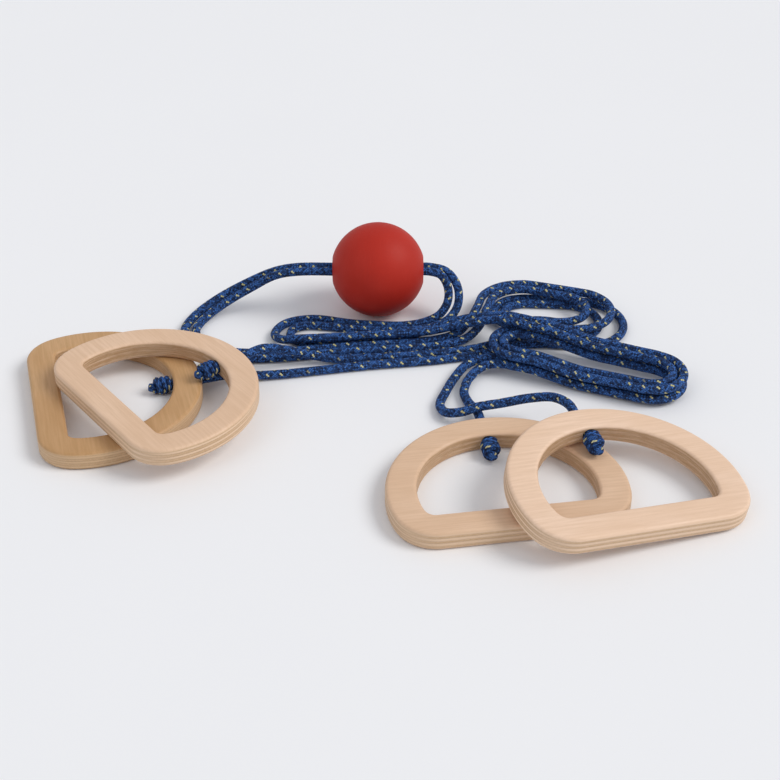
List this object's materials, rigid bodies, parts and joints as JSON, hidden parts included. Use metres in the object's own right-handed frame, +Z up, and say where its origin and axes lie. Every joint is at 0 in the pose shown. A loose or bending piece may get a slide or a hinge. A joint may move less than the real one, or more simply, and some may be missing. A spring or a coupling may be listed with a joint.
{
  "type": "zoom ball",
  "caption": "Zoom ball toy: a round ball threaded on two long braided cords, with a D-shaped plywood handle held by a stopper knot at every cord end.",
  "frame": {"origin": "on the table, at the middle of the box round the ball and the four handles", "axes": "+X to the right as the picture sees the toy, +Y away from the viewer, +Z up from the table"},
  "size_m": [0.3732, 0.2612, 0.055],
  "materials": {
    "ball_paint": "turned wood under satin red paint",
    "handle_plywood": "sanded birch plywood under thin clear lacquer",
    "cord_braid": "braided polyester cord, blue with pale flecks"
  },
  "bodies": {
    "cords": {"cord_1_lead": "cord_braid", "cord_1_round_loops": "cord_braid", "cord_1_return": "cord_braid", "cord_1_ball_run": "cord_braid", "cord_1_outrun": "cord_braid", "cord_1_long_loops": "cord_braid", "cord_1_tail": "cord_braid", "cord_2_lead": "cord_braid", "cord_2_round_loops": "cord_braid", "cord_2_return": "cord_braid", "cord_2_ball_run": "cord_braid", "cord_2_outrun": "cord_braid", "cord_2_long_loops": "cord_braid", "cord_2_tail": "cord_braid", "knot_left_lower": "cord_braid", "knot_left_upper": "cord_braid", "knot_right_lower": "cord_braid", "knot_right_upper": "cord_braid"},
    "ball": {"ball": "ball_paint"},
    "handle_left_lower": {"handle_left_lower": "handle_plywood"},
    "handle_left_upper": {"handle_left_upper": "handle_plywood"},
    "handle_right_lower": {"handle_right_lower": "handle_plywood"},
    "handle_right_upper": {"handle_right_upper": "handle_plywood"}
  },
  "joints": [
    {"name": "ball_run", "type": "slide", "parent": "cords", "child": "ball", "axis": [1, 0, 0], "range_m": [-0.012, 0.002]},
    {"name": "handle_left_lower_slide", "type": "slide", "parent": "cords", "child": "handle_left_lower", "axis": [0.9613, 0.2756, 0], "range_m": [0, 0.01]},
    {"name": "handle_left_upper_slide", "type": "slide", "parent": "cords", "child": "handle_left_upper", "axis": [0.788, 0.6157, 0], "range_m": [0, 0.01]},
    {"name": "handle_right_lower_slide", "type": "slide", "parent": "cords", "child": "handle_right_lower", "axis": [-0.1564, 0.9877, 0], "range_m": [0, 0.005]},
    {"name": "handle_right_upper_slide", "type": "slide", "parent": "cords", "child": "handle_right_upper", "axis": [-0.3165, 0.9443, 0.09], "range_m": [0, 0.003]}
  ]
}
